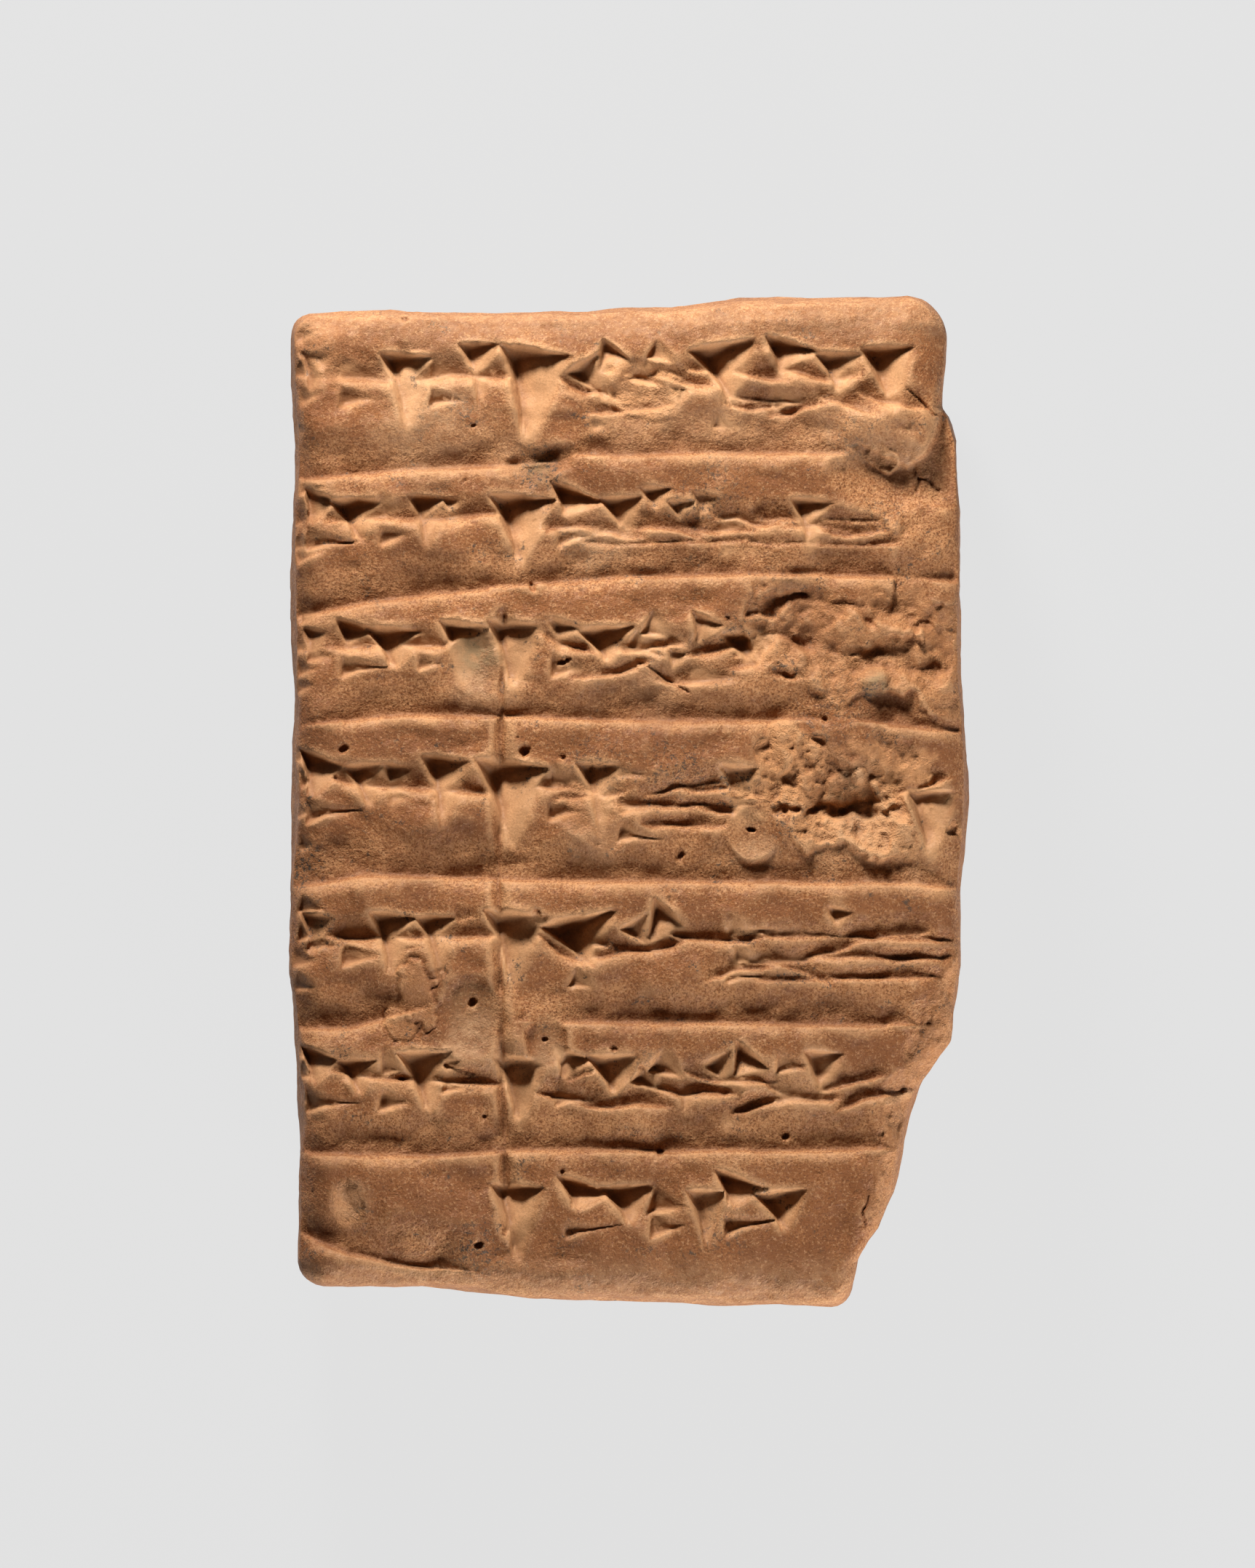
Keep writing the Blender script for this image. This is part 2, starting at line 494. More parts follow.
def front_strokes(stylus):
    strokes = list(LONE_STROKES)
    for row, (top, foot, lead, left, right) in enumerate(ROWS):
        lead_mark = f"lead:{LEAD_CELL}"
        strokes += set_marks(left, LEFT_START, top, foot, row * 4 + 1, stylus)
        strokes += set_marks(lead_mark, lead - LEAD_CELL / 2, top, foot, row * 4 + 2, stylus)
        strokes += set_marks(right, lead + LEAD_CELL / 2, top, foot, row * 4 + 3, stylus)
    return strokes


def back_strokes(stylus):
    strokes = []
    for row, (top, foot, marks) in enumerate(BACK_ROWS):
        strokes += set_marks(marks, BACK_START, top, foot, 90 + row, stylus)
    return strokes


def to_line(x, y, points):
    """Distance from a line of points, and the side: positive to its left."""
    nearest = np.full(np.shape(x), np.inf)
    side = np.zeros(np.shape(x))
    for (x0, y0), (x1, y1) in zip(points, points[1:]):
        dx, dy = x1 - x0, y1 - y0
        t = np.clip(((x - x0) * dx + (y - y0) * dy) / (dx * dx + dy * dy), 0, 1)
        away = np.hypot(x - x0 - t * dx, y - y0 - t * dy)
        closer = away < nearest
        nearest = np.where(closer, away, nearest)
        side = np.where(closer, np.sign(dx * (y - y0) - dy * (x - x0)), side)
    return nearest, side


def press_strokes(face, strokes, writing):
    """Depth of strokes in the clay, the deepest where they cross."""
    depth = np.zeros_like(face.x)
    for stroke in strokes:
        px, py, _, head, reach = stroke
        far = max(head, reach) + 0.2
        part = face.window(px - far, px + far, py - far, py + far)
        pit = wedge_pit(face.x[part], face.y[part], stroke, writing.depth)
        depth[part] = np.maximum(depth[part], pit)
    return depth


def press_rules(face, rules, above, below, depth, waver=0.12, broad=False):
    """Depth of lines in the clay, which falls to them from above and rises sharply just below."""
    groove = np.zeros_like(face.x)
    wander = face.noise(2.2, 40, 2) * waver
    for points in rules:
        xs, ys = zip(*points)
        part = face.window(min(xs) - above, max(xs) + above, min(ys) - above, max(ys) + above)
        away, side = to_line(face.x[part], face.y[part] + wander[part], points)
        near = np.clip(1 - away / above, 0, 1)
        falling = smooth_step(0, 0.8, near) if broad else near**1.3
        wall, foot = np.clip(1 - away / below, 0, 1), np.clip(1 - away / (5 * below), 0, 1)
        rising = 0.62 * wall + 0.38 * foot**1.5
        groove[part] = np.maximum(groove[part], depth * np.where(side > 0, falling, rising))
    return groove


def oval(face, x, y, half_width, half_height, raggedness=0.0, seed=0, size=1.1):
    """How far out each place lies from an oval's middle: 1 at its rim."""
    radius = np.hypot((face.x - x) / half_width, (face.y - y) / half_height)
    if raggedness:
        radius = radius + raggedness * face.noise(size, seed, 3)
    return radius


def bowl(*place):
    """How far inside an oval each place lies: 0 at and beyond the rim, 1 in the middle."""
    return np.clip(1 - oval(*place), 0, 1)


def edge_strokes():
    """The small ends of strokes that run over the left edge."""
    strokes = []
    for row, (top, foot, *_) in enumerate(ROWS[:-1]):
        for n in range(4):
            key = 700 + row * 10 + n
            x = -16.4 + 0.25 * wobble(key + 3)
            y = top - (0.2 + 0.2 * n) * (top - foot) + 0.3 * wobble(key)
            lean = 86 + 20 * wobble(key + 5)
            strokes.append((x, y, lean, 1.1, 1.2 + 0.5 * wobble(key)))
    return strokes


def faint_strokes():
    """Traces of earlier, half-wiped strokes among the marks."""
    strokes = []
    for row, (top, foot, *_) in enumerate(ROWS[:-1]):
        for n in range(FAINT_PER_ROW):
            key = 900 + row * 40 + n
            x = -15 + 27 * (n + 0.5 + 0.5 * wobble(key)) / FAINT_PER_ROW
            y = top - (0.4 + 0.14 * wobble(key + 13)) * (top - foot)
            lean = 92 + 9 * wobble(key + 17)
            strokes.append((x, y, lean, 1.0 + 0.3 * wobble(key + 23), 2.4 + 0.8 * wobble(key + 29)))
    return strokes


def ledge_lines():
    """The steps below the wedges: one along each left field, short broken ones along each right field."""
    lines = []
    for row, (top, foot, lead, *_) in enumerate(ROWS[:-1]):
        spans = [(-13.9, lead - 0.9, 0.45)]
        start = lead + 1.6
        while start < 12:
            key = 800 + row * 60 + len(spans) * 5
            end = start + 2.6 + 1.2 * wobble(key)
            spans.append((start, end, 0.55 + 0.16 * wobble(key + 1)))
            start = end - 0.7 + 0.9 * wobble(key + 2)
        for n, (start, end, down) in enumerate(spans):
            key = 830 + row * 60 + n * 5
            y = top - down * (top - foot)
            rise = 0.35 * wobble(key)
            xs = [start + (end - start) * k / 3 for k in range(4)]
            ys = [y + rise * (k / 1.5 - 1) + 0.15 * wobble(key + 1 + k) for k in range(4)]
            lines.append(list(zip(xs, ys)))
    return lines


def emboss(face, pressed, swell, worn):
    """The pressed relief with the clay that rose beside it, softened where it is worn."""
    lips = swell * face.blur(pressed, 0.3) * np.exp(-pressed / 0.07)
    height = lips * (1 - 0.6 * worn) - pressed
    soft = face.blur(height, PITCH)
    return height + (soft - height) * (0.15 + 0.85 * worn)


def hollows(face, height):
    """How far each place lies below its surroundings, wide and near: -1 on a ridge, 1 in a groove."""
    wide = (face.blur(height, 0.5) - height) / 0.3
    near = (face.blur(height, 0.18) - height) / 0.07
    return np.clip(0.5 * wide + 0.5 * near, -1, 1)


def stain_layers(face, stains):
    """How far each kind of stain has taken, with ragged edges."""
    layers = {name: np.zeros_like(face.x) for name in ("soil", "green", "dust", "aged")}
    for n, (x, y, radius, name, much) in enumerate(stains):
        far = 1.6 * radius
        part = face.window(x - far, x + far, y - far, y + far)
        ragged = 0.35 * face.noise(1.0, 300 + n, 2)[part]
        away = np.hypot(face.x[part] - x, face.y[part] - y) / radius + ragged
        layers[name][part] = np.maximum(layers[name][part], much * smooth_step(1.3, 0.3, away))
    return layers


def press_front(face, writing):
    """Depth of the strokes alone, and of all that is pressed into the front."""
    strokes = press_strokes(face, front_strokes(writing.stylus) + edge_strokes(), writing)
    pressed = [
        strokes,
        press_strokes(face, faint_strokes(), writing) * 0.5,
        press_rules(face, RULES, depth=writing.rule_depth / MM, **RULE_PRESS),
        press_rules(face, ledge_lines(), **LEDGE_PRESS),
        press_rules(face, BARS, **BAR_PRESS),
        press_rules(face, [UPRIGHT_RULE], **UPRIGHT_PRESS),
        press_rules(face, [FOLD], **FOLD_PRESS),
        press_rules(face, [ROW_END], **ROW_END_PRESS),
    ]
    return strokes, np.maximum.reduce(pressed)


def push_dents(face, height):
    """The relief with the finger-tip dents in it, each a dish that wipes out what was there."""
    for n, (x, y, half_width, half_height, deep) in enumerate(DENTS):
        inside = bowl(face, x, y, half_width, half_height, 0.06, 21 + n)
        kept = 1 - 0.85 * smooth_step(0, 0.25, inside)
        height = height * kept - deep * np.clip(1.5 * inside * (1.6 - inside), 0, 1)
    return height


def crumb_relief(face):
    """Chips of three sizes over soft lumps, for the crumbled places."""
    bend = np.stack([rough(face.points, 0.8, n, 2) for n in (65, 66)], axis=1)
    bent = turned(face.points, 0.5) + 0.25 * bend
    chips = 0.9 * facets(bent, 2.2, 160) + 0.3 * facets(bent, 1.0, 165) + 0.14 * facets(bent, 0.45, 170)
    return 0.7 * face.noise(3.0, 60, 3, 0.6) + face.blur(chips.reshape(face.x.shape), PITCH)


def crumbled_layers(face, writing):
    """How far each place has sunk, how coarse and how fresh it is. The lone strokes stay whole."""
    ragged = face.noise(1.4, 67, 4)
    sunk, crumbled, broken = (np.zeros_like(face.x) for _ in range(3))
    for points, above, below, deep, coarse, fresh in CRUMBLED:
        away, side = to_line(face.x, face.y, points)
        inside = np.clip(1 - away / np.where(side > 0, above, below) + 0.42 * ragged, 0, 1)
        covered = smooth_step(0, 0.25, inside)
        sunk = np.maximum(sunk, deep * inside**1.2)
        crumbled = np.maximum(crumbled, covered * coarse)
        broken = np.maximum(broken, covered * fresh)
    whole = 1 - smooth_step(0, 0.15, face.blur(press_strokes(face, LONE_STROKES, writing), 0.2))
    return sunk * whole, crumbled * whole, broken * whole


def raise_lumps(face, height, broken):
    """Adds the lumps, the lifted flakes and the raised rim at the head to the relief."""
    for n, (x, y, half_width, half_height, proud) in enumerate(LUMPS):
        height += proud * smooth_step(0, 0.9, bowl(face, x, y, half_width, half_height, 0.2, 140 + n))
    for n, (x, y, half_width, half_height, proud) in enumerate(FLAKES):
        out = oval(face, x, y, half_width, half_height, 0.5, 30 + n) + 0.15 * face.noise(0.4, 34 + n, 3)
        height += proud * smooth_step(1.05, 0.75, out) - 0.1 * np.exp(-((out - 1.1) / 0.06) ** 2)
        np.maximum(broken, 0.35 * smooth_step(1.05, 0.9, out), out=broken)
    head = smooth_step(22.9, 23.6, face.y + 0.15 * face.noise(2.0, 70, 2))
    height += 0.15 * (head * smooth_step(-14.6, -12.8, face.x))


def pierce(face, height):
    """Cuts the holes and the cracks into the relief."""
    for n, (x, y, radius, deep) in enumerate(HOLES):
        inside = bowl(face, x, y, radius, radius * (0.85 + 0.3 * wobble(n)), 0.5, 80 + n, 0.35)
        height -= deep * smooth_step(0, 0.6, inside)
    for points in CRACKS:
        away, _ = to_line(face.x + 0.12 * face.noise(0.6, 90, 2), face.y, points)
        height -= 0.25 * np.clip(1 - away / 0.09, 0, 1)


def break_corner(face):
    """How far the clay drops at the broken corner, and how fresh the break looks."""
    away, side = to_line(face.x, face.y, BREAK_EDGE)
    beyond = np.clip(-side * away + 0.35 * face.noise(1.6, 95, 4), 0, None)
    onset = 0.25 + 1.1 * smooth_step(-14.0, -9.5, face.y)
    beyond = np.sqrt(beyond**2 + onset**2) - onset
    torn = face.noise(1.8, 97, 3, 0.5, 2.0) + 0.3 * face.noise(0.45, 98, 3, 0.6, 3.0)
    drop = beyond * BREAK_SLOPE * BREAK_WEATHERED - 0.5 * smooth_step(0, 0.5, beyond) * torn
    return drop, 0.4 * smooth_step(0.1, 0.5, beyond)


def finish_layers(face, strokes, pressed, broken, stains):
    """What each place has been through, as shares, for the finish."""
    return {
        "pressed": np.clip(face.blur(strokes, 0.1) / 0.2, 0, 1),
        "touched": np.clip(face.blur(pressed, 0.4) / 0.2, 0, 1),
        "broken": broken,
        "hollow": hollows(face, face.height),
        **stains,
    }


def map_front(writing):
    face = FaceMap()
    strokes, pressed = press_front(face, writing)
    worn = smooth_step(0.2, 1.0, face.noise(4.0, 3, 3))
    height = emboss(face, pressed, writing.swell, worn)
    swells = 0.27 * face.noise(3.2, 11, 2, stretch=0.7)
    lumps = 0.07 * face.noise(1.0, 12, 3)
    creases = 0.1 * np.abs(face.noise(2.4, 15, 2, stretch=0.6))
    height += swells + lumps
    height += creases
    height = push_dents(face, height)
    sunk, crumbled, broken = crumbled_layers(face, writing)
    height = height * (1 - np.clip(1.8 * crumbled, 0, 0.8)) - sunk + crumbled * crumb_relief(face)
    raise_lumps(face, height, broken)
    pierce(face, height)
    pitted = 0.14 * np.abs(face.noise(0.9, 175, 4, 0.65)) + 0.06 * face.noise(0.25, 180, 2)
    height -= broken * smooth_step(0.15, 0.5, sunk) * pitted
    sandy = face.noise(0.33, 13, 3, 0.6)
    height += (0.003 + 0.06 * crumbled) * sandy
    face.height = height
    face.drop, torn = break_corner(face)

    stains = stain_layers(face, STAINS)
    ends = 0.6 * smooth_step(21.8, 23.6, np.abs(face.y))
    stains["dust"] = np.maximum(stains["dust"], ends)
    left = 0.4 * smooth_step(-11.0, -15.0, face.x) + 0.6 * smooth_step(-15.0, -16.2, face.x)
    stains["aged"] = np.maximum(stains["aged"], left)
    face.layers = finish_layers(face, strokes, pressed, np.maximum(broken, torn), stains)
    return face


def map_back(writing):
    face = FaceMap()
    strokes = press_strokes(face, back_strokes(writing.stylus), writing)
    rules = press_rules(face, BACK_RULES, depth=writing.rule_depth / MM, **BACK_RULE_PRESS)
    pressed = np.maximum(strokes, rules)
    worn = smooth_step(0.2, 1.0, face.noise(4.0, 103, 3))
    face.height = emboss(face, pressed, writing.swell, worn)
    face.height += 0.19 * face.noise(5.0, 111, 2) + 0.05 * face.noise(1.3, 112, 3)
    whole = np.zeros_like(face.x)
    face.layers = finish_layers(face, strokes, pressed, whole, stain_layers(face, []))
    return face


# ---- The mesh -----------------------------------------------------------------------------------


def side_height(form):
    return THICKNESS + (form.drying_flat - form.front_dome - form.back_dome) / MM


FRONT_FINE = 2.2  # how far down the sides the finer squares of the front reach
BACK_FINE = 11.4  # how far from the middle those of the back begin, towards the foot
FACING = (0.15, 0.75)  # how squarely clay faces up or down before the maps take hold, and take full hold


def gridded_box(form):
    """A box with even squares, and finer ones over the front and over the rows of the back."""
    size = Vector((WIDTH, LENGTH, side_height(form)))
    step = form.grid / MM
    bm = bmesh.new()
    bmesh.ops.create_cube(bm, size=1)
    bmesh.ops.scale(bm, vec=size, verts=bm.verts)
    for axis in range(3):
        edges = [e for e in bm.edges if abs(e.verts[0].co[axis] - e.verts[1].co[axis]) > 0.5 * size[axis]]
        bmesh.ops.subdivide_edges(bm, edges=edges, cuts=round(size[axis] / step) - 1, use_grid_fill=True)
    fine = [f for f in bm.faces if in_fine_zone(f.calc_center_median(), size.z / 2)]
    edges = list({e for f in fine for e in f.edges})
    bmesh.ops.subdivide_edges(bm, edges=edges, cuts=form.fine_cuts, use_grid_fill=True)
    return bm


def in_fine_zone(middle, top):
    on_back = middle.z < 0.2 - top
    return middle.z > top - FRONT_FINE or (on_back and middle.y < -BACK_FINE)


def shape_clay(p, form):
    """Moves points of a plain box to the rounded, domed cushion, about its middle."""
    half = np.array([WIDTH, LENGTH, side_height(form)]) / 2
    shares = p / half
    across, along = (shares[:, 0] + 1) / 2, (shares[:, 1] + 1) / 2
    bottom = CORNERS["bottom_left"] * (1 - across) + CORNERS["bottom_right"] * across
    top = CORNERS["top_left"] * (1 - across) + CORNERS["top_right"] * across
    corner = bottom * (1 - along) + top * along
    up = np.where(p[:, 2] > 0, form.front_rounding, form.back_rounding) / MM
    radius = np.stack([corner, corner, up], axis=1)
    core = half - radius
    inner = np.clip(p, -core, core)
    out = (p - inner) / radius
    norm = np.linalg.norm(out, axis=1, keepdims=True)
    p = inner + radius * out / np.maximum(norm, 1e-9)

    draw = 1 - form.side_bulge * shares[:, 2] ** 2
    x, y, z = p[:, 0] * draw, p[:, 1] * draw, p[:, 2]
    inset = np.where(x < 0, np.interp(y, *INSET_LEFT), np.interp(y, *INSET_RIGHT))
    x = x * (1 - inset / half[0])
    inset = np.where(y > 0, np.interp(x, *INSET_TOP), np.interp(x, *INSET_BOTTOM))
    y = y * (1 - inset / half[1])
    crown = np.clip((1 - shares[:, 0] ** 2) * (1 - shares[:, 1] ** 2), 0, None)
    dome = np.where(z > 0, form.front_dome, -form.back_dome) / MM
    return np.stack([x, y, z + dome * crown * np.abs(shares[:, 2])], axis=1)


def read_vectors(items, name):
    values = np.zeros(len(items) * 3)
    items.foreach_get(name, values)
    return values.reshape(-1, 3)


def middle_height(form):
    return THICKNESS - form.front_dome / MM - side_height(form) / 2


def carve(mesh, form, front, back):
    """Presses the two faces' maps into the mesh and roughens its sides."""
    p = read_vectors(mesh.vertices, "co")
    normal = read_vectors(mesh.vertex_normals, "vector")
    mid = middle_height(form)
    top = side_height(form) / 2
    x, y, z = p.T
    lift = smooth_step(*FACING, normal[:, 2])
    sink = smooth_step(*FACING, -normal[:, 2])
    share_up = np.clip(z / top, 0, 1)
    moved = p.copy()
    moved[:, 2] += lift * front.sample(front.height, x, y) - share_up * front.sample(front.drop, x, y)
    moved[:, 2] -= sink * back.sample(back.height, x, -y)
    plain = 1 - np.maximum(lift, sink)
    lumps = 0.16 * rough(p, 5.0, 200, 2) + 0.07 * rough(p, 1.4, 210, 3)
    moved += normal * (plain * lumps)[:, None]
    moved[:, 2] = np.maximum(moved[:, 2] + mid, 0)
    mesh.vertices.foreach_set("co", (moved * MM).ravel())
    mesh.update()


def paint(mesh, front, back):
    """Stores what each place of the clay has been through, for its finish."""
    p = read_vectors(mesh.vertices, "co") / MM
    normal = read_vectors(mesh.vertex_normals, "vector")
    on_front = p[:, 2] > THICKNESS / 2
    for name in front.layers:
        ahead = front.sample(front.layers[name], p[:, 0], p[:, 1])
        behind = back.sample(back.layers[name], p[:, 0], -p[:, 1])
        level = np.abs(normal[:, 2])
        value = np.where(on_front, ahead, behind) * smooth_step(0.0, 0.4, level)
        if name == "touched":  # the sides were handled most
            value = np.maximum(value, 0.7 * smooth_step(0.9, 0.5, level))
        attribute = mesh.attributes.new(name, "FLOAT", "POINT")
        attribute.data.foreach_set("value", value.astype(np.float32))


def thin_out(piece, most):
    """Brings the mesh down to a number of triangles, and keeps them where the relief is."""
    piece.data.calc_loop_triangles()
    count = len(piece.data.loop_triangles)
    thin = piece.modifiers.new("Thin Out", "DECIMATE")
    thin.ratio = min(1, most / count)
    thin.use_collapse_triangulate = True
    graph = bpy.context.evaluated_depsgraph_get()
    finished = bpy.data.meshes.new_from_object(piece.evaluated_get(graph))
    piece.modifiers.clear()
    dense = piece.data
    piece.data = finished
    bpy.data.meshes.remove(dense)


# ---- The finish ---------------------------------------------------------------------------------


class Finish:
    """A node material, with a short way to add and join nodes."""

    def __init__(self, name):
        self.material = bpy.data.materials.new(name)
        self.material.use_nodes = True
        self.tree = self.material.node_tree
        self.shader = self.tree.nodes["Principled BSDF"]
        self.place = self.add("ShaderNodeTexCoord").outputs["Object"]

    def add(self, kind, **settings):
        node = self.tree.nodes.new(kind)
        for name, value in settings.items():
            setattr(node, name, value)
        return node

    def feed(self, socket, source):
        if isinstance(source, bpy.types.NodeSocket):
            self.tree.links.new(source, socket)
        else:
            socket.default_value = source

    def noise(self, size, detail=3.0, roughness=0.6, distortion=0.0):
        """Noise with lumps of a size in millimetres."""
        node = self.add("ShaderNodeTexNoise")
        self.feed(node.inputs["Vector"], self.place)
        node.inputs["Scale"].default_value = 1 / (size * MM)
        node.inputs["Detail"].default_value = detail
        node.inputs["Roughness"].default_value = roughness
        node.inputs["Distortion"].default_value = distortion
        return node.outputs["Fac"]

    def spread(self, source, low, high, to_low=0.0, to_high=1.0):
        """Stretches a value from one range to another, with soft ends."""
        node = self.add("ShaderNodeMapRange", interpolation_type="SMOOTHSTEP")
        self.feed(node.inputs["Value"], source)
        ends = {"From Min": low, "From Max": high, "To Min": to_low, "To Max": to_high}
        for name, value in ends.items():
            node.inputs[name].default_value = value
        return node.outputs["Result"]

    def work(self, operation, first, second):
        node = self.add("ShaderNodeMath", operation=operation)
        self.feed(node.inputs[0], first)
        self.feed(node.inputs[1], second)
        return node.outputs[0]

    def times(self, first, second):
        return self.work("MULTIPLY", first, second)

    def blend(self, amount, first, second):
        node = self.add("ShaderNodeMix", data_type="RGBA")
        self.feed(node.inputs["Factor"], amount)
        for socket, source in zip([i for i in node.inputs if i.type == "RGBA"], (first, second)):
            self.feed(socket, source)
        return next(o for o in node.outputs if o.type == "RGBA")

    def record(self, name):
        return self.add("ShaderNodeAttribute", attribute_name=name).outputs["Fac"]

    def bump(self, height, distance, strength, normal=None):
        node = self.add("ShaderNodeBump")
        self.feed(node.inputs["Height"], height)
        node.inputs["Distance"].default_value = distance * MM
        node.inputs["Strength"].default_value = strength
        if normal:
            self.feed(node.inputs["Normal"], normal)
        return node.outputs["Normal"]


def clay_finish(clay):
    finish = Finish("tablet_clay")
    blend, noise, spread, times = finish.blend, finish.noise, finish.spread, finish.times
    skin, mellow, pale, rubbed, deep, fresh, dirt, green = [
        (*getattr(clay, name), 1)
        for name in ("skin", "mellow", "pale", "rubbed", "deep", "broken", "dirt", "green")
    ]
    pressed, touched, broken, aged, hollow, soil, damp, dust = [
        finish.record(name)
        for name in ("pressed", "touched", "broken", "aged", "hollow", "soil", "green", "dust")
    ]

    # The brown skin survives in grains, most of all on the high places that nothing has touched.
    untouched = spread(touched, 0.1, 1.0, 1.0, 0.0)
    patches = spread(noise(0.9, 5, 0.7, 0.3), 0.35, 0.65, -0.02, 0.07)
    cover = finish.work("ADD", patches, times(untouched, 0.16))
    grit = finish.work("ADD", noise(0.14, 4, 0.7), cover)
    colour = blend(spread(grit, 0.42, 0.68), mellow, skin)
    tone = spread(noise(3.6, 4, 0.6), 0.42, 0.64, 0.0, 0.5)
    colour = blend(tone, colour, deep)
    shade = spread(noise(0.1, 2, 0.5), 0.54, 0.64)
    colour = blend(times(shade, 0.9), colour, deep)
    glint = spread(noise(0.15, 3, 0.6), 0.56, 0.66)
    colour = blend(times(glint, 0.5), colour, pale)

    # Paler clay in the strokes and on ridges, fresh clay in the breaks, and darker clay in hollows.
    colour = blend(times(pressed, 0.65), colour, pale)
    colour = blend(times(broken, 0.8), colour, fresh)
    colour = blend(spread(hollow, -0.15, -1.0, 0.0, 0.5), colour, pale)
    colour = blend(spread(hollow, 0.15, 1.0, 0.0, 0.45), colour, deep)
    colour = blend(times(aged, 0.5), colour, deep)

    # Green and grey stains, flecks of soil and rubbed, dusty places.
    fleck = spread(noise(0.24, 4, 0.8), 0.53, 0.58)
    stray = spread(noise(1.9, 4, 0.7), 0.57, 0.66, 0.0, 0.9)
    soiled = times(finish.work("MAXIMUM", soil, stray), fleck)
    mossy = times(damp, spread(noise(0.4, 4, 0.7), 0.35, 0.6, 0.25, 0.85))
    colour = blend(mossy, colour, green)
    colour = blend(times(soiled, 0.9), colour, dirt)
    chalky = times(dust, spread(noise(0.5, 5, 0.7), 0.35, 0.65, 0.3, 0.9))
    colour = blend(times(chalky, 0.7), colour, rubbed)
    finish.feed(finish.shader.inputs["Base Color"], colour)

    smooth, coarse = clay.roughness - 0.14, clay.roughness + 0.2
    finish.feed(finish.shader.inputs["Roughness"], spread(noise(0.4, 4, 0.7), 0.3, 0.7, smooth, coarse))
    finish.shader.inputs["Specular IOR Level"].default_value = 0.32
    rugged = finish.work("ADD", spread(pressed, 0.0, 1.0, 1.0, 0.35), broken)
    lumps = finish.bump(times(noise(0.32, 4, 0.6), rugged), 0.09, 0.9)
    grains = finish.bump(times(noise(0.1, 3, 0.6), rugged), 0.055, 0.85, lumps)
    finish.feed(finish.shader.inputs["Normal"], grains)
    return finish.material


# ---- Operators ----------------------------------------------------------------------------------


class TABLET_OT_model(Operator):
    """Models the clay tablet with its writing, wear and broken corner"""

    bl_idname = "tablet.model"
    bl_label = "Model Tablet"

    def execute(self, context):
        scene = context.scene
        form, writing = scene.tablet_form, scene.tablet_writing
        front, back = map_front(writing), map_back(writing)
        bm = gridded_box(form)
        mesh = bpy.data.meshes.new("clay_tablet")
        bm.to_mesh(mesh)
        bm.free()
        points = shape_clay(read_vectors(mesh.vertices, "co"), form)
        mesh.vertices.foreach_set("co", points.ravel())
        mesh.update()
        carve(mesh, form, front, back)
        piece = bpy.data.objects.new("clay_tablet", mesh)
        scene.collection.objects.link(piece)
        thin_out(piece, form.most_triangles)
        paint(piece.data, front, back)
        piece.data.shade_smooth()
        piece.data.materials.append(clay_finish(scene.tablet_clay))
        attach(piece, "root")
        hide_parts(NODE)
        return {"FINISHED"}


FLOOR_RADIUS = 3  # metres
LENS = 300  # millimetres, long enough that the sides of the tablet hardly show
SENSOR = 36
VIEW_MIDDLE = (-0.05 * MM, 0.81 * MM)


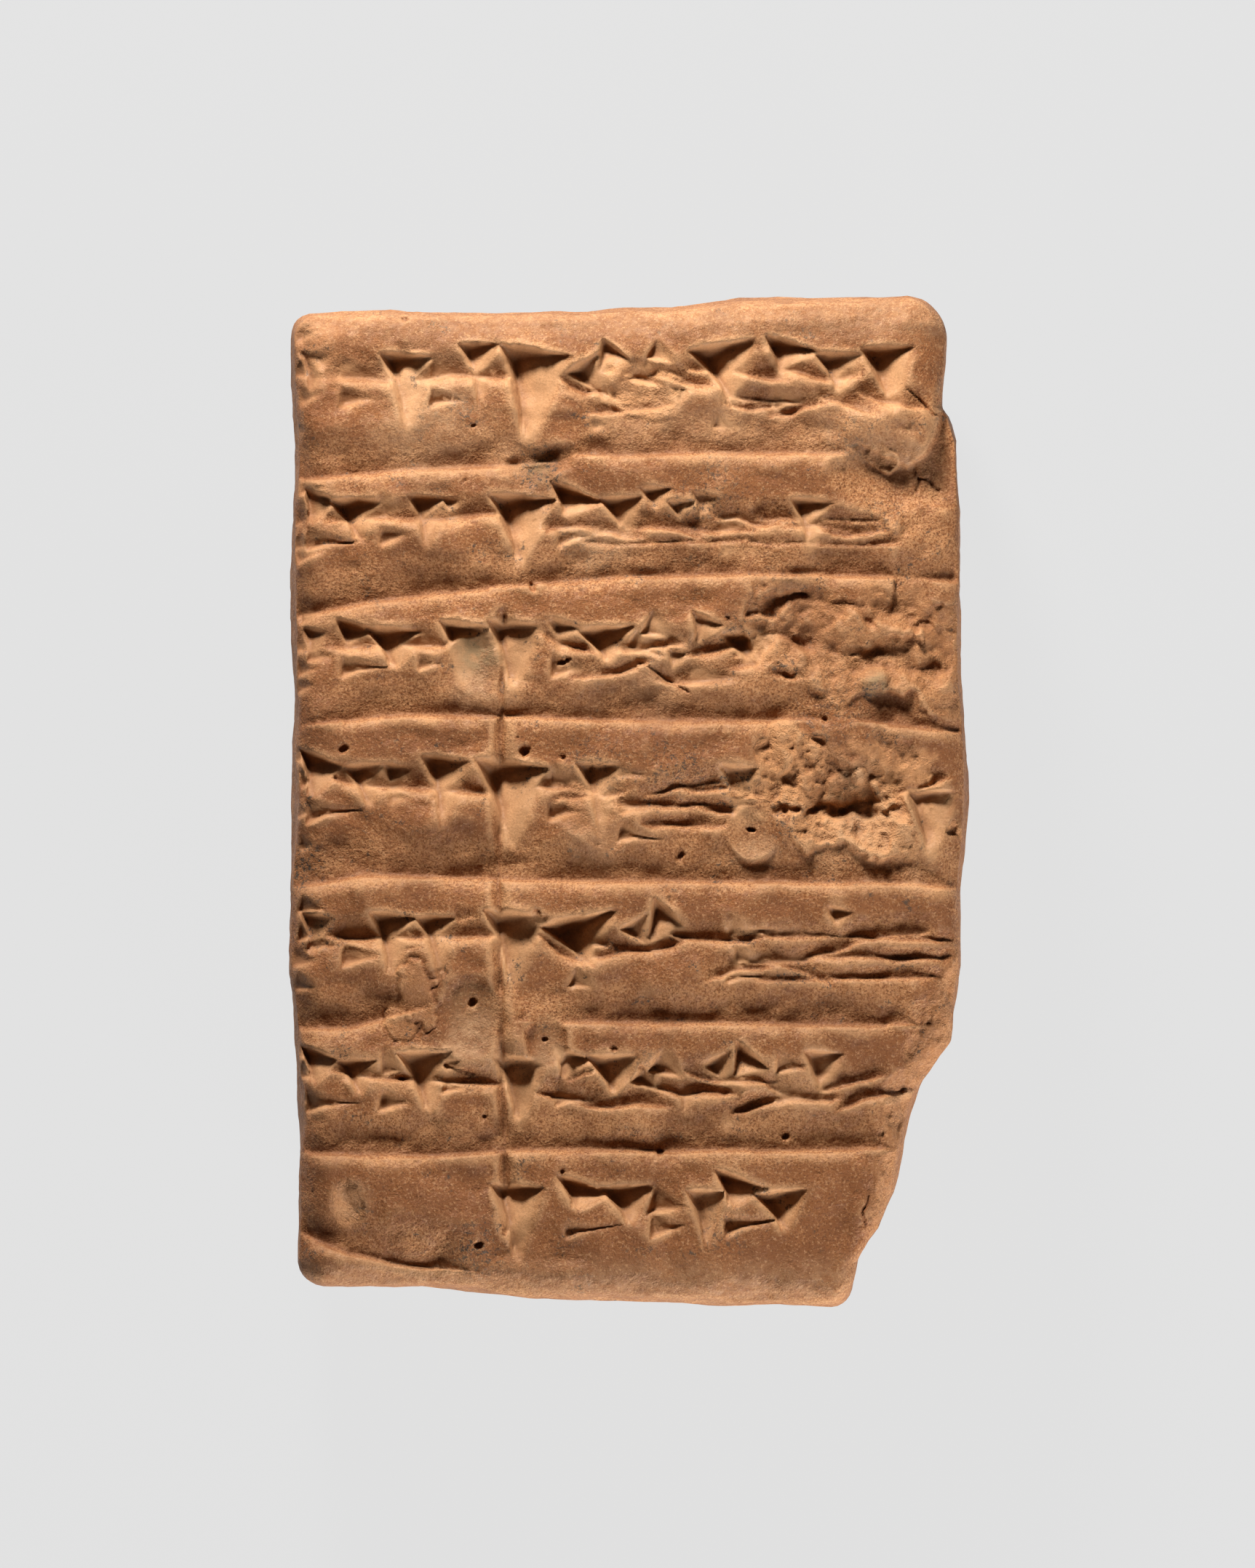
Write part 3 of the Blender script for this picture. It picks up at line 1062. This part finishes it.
class TABLET_OT_stage(Operator):
    """Lays out the pale floor, the soft light and the camera that looks down on the tablet"""

    bl_idname = "tablet.stage"
    bl_label = "Set Stage"

    def execute(self, context):
        scene, stage = context.scene, context.scene.tablet_stage
        self.lay_floor(scene, stage)
        self.hang_light(scene, stage, "key", distance=0.16, breadth=0.034)
        self.hang_light(scene, stage, "bounce", distance=0.24, breadth=0.12)
        self.fill_room(scene, stage)
        self.place_camera(scene, stage)
        scene.view_settings.view_transform = "Standard"
        return {"FINISHED"}

    def lay_floor(self, scene, stage):
        bm = bmesh.new()
        bmesh.ops.create_circle(bm, cap_ends=True, segments=64, radius=FLOOR_RADIUS)
        mesh = bpy.data.meshes.new("floor")
        bm.to_mesh(mesh)
        bm.free()
        floor = bpy.data.objects.new("floor", mesh)
        scene.collection.objects.link(floor)
        paper = Finish("floor_paper")
        paper.shader.inputs["Base Color"].default_value = (0.02, 0.02, 0.02, 1)
        paper.shader.inputs["Roughness"].default_value = 1
        paper.shader.inputs["Specular IOR Level"].default_value = 0
        paper.shader.inputs["Emission Color"].default_value = (*stage.floor, 1)
        paper.shader.inputs["Emission Strength"].default_value = 0.97
        mesh.materials.append(paper.material)

    def hang_light(self, scene, stage, name, distance, breadth):
        """A round light aimed at the middle of the front, from as far off and as broad in metres."""
        watts, turn, height = (getattr(stage, f"{name}_{key}") for key in ("watts", "turn", "height"))
        light = bpy.data.lights.new(name, "AREA")
        light.shape = "DISK"
        light.size = breadth
        light.energy = watts
        lamp = bpy.data.objects.new(name, light)
        scene.collection.objects.link(lamp)
        level = math.cos(height)
        away = Vector((-math.sin(turn) * level, math.cos(turn) * level, math.sin(height)))
        target = Vector((0, 0, CAD_HIGH.z))
        aim = away.to_track_quat("Z", "Y").to_matrix().to_4x4()
        lamp.matrix_world = Matrix.Translation(target + distance * away) @ aim

    def fill_room(self, scene, stage):
        world = bpy.data.worlds.new("room")
        world.use_nodes = True
        background = world.node_tree.nodes["Background"]
        background.inputs["Color"].default_value = (1, 0.97, 0.93, 1)
        background.inputs["Strength"].default_value = stage.fill
        scene.world = world

    def place_camera(self, scene, stage):
        camera = bpy.data.cameras.new("camera")
        camera.sensor_fit = "VERTICAL"
        camera.sensor_height = SENSOR
        camera.lens = LENS
        camera.clip_start = 0.01
        distance = stage.view_height * LENS / SENSOR
        eye = bpy.data.objects.new("camera", camera)
        scene.collection.objects.link(eye)
        eye.location = (*VIEW_MIDDLE, distance + 0.55 * CAD_HIGH.z)
        scene.camera = eye


class TABLET_PT_panel(Panel):
    bl_label = "Clay Tablet"
    bl_space_type = "VIEW_3D"
    bl_region_type = "UI"
    bl_category = "Tablet"

    def draw(self, context):
        for operator in (TABLET_OT_model, TABLET_OT_stage):
            self.layout.operator(operator.bl_idname)
        for name in SETTINGS:
            settings = getattr(context.scene, name)
            for key in settings.__annotations__:
                self.layout.prop(settings, key)


SETTINGS = {
    "tablet_form": TabletForm,
    "tablet_writing": TabletWriting,
    "tablet_clay": TabletClay,
    "tablet_stage": TabletStage,
}
CLASSES = (*SETTINGS.values(), TABLET_OT_model, TABLET_OT_stage, TABLET_PT_panel)


def register():
    for cls in CLASSES:
        bpy.utils.register_class(cls)
    for name, cls in SETTINGS.items():
        setattr(bpy.types.Scene, name, PointerProperty(type=cls))


def unregister():
    for name in SETTINGS:
        delattr(bpy.types.Scene, name)
    for cls in reversed(CLASSES):
        bpy.utils.unregister_class(cls)


def main():
    register()
    bpy.ops.tablet.model()
    bpy.ops.tablet.stage()


if __name__ == "__main__":
    main()
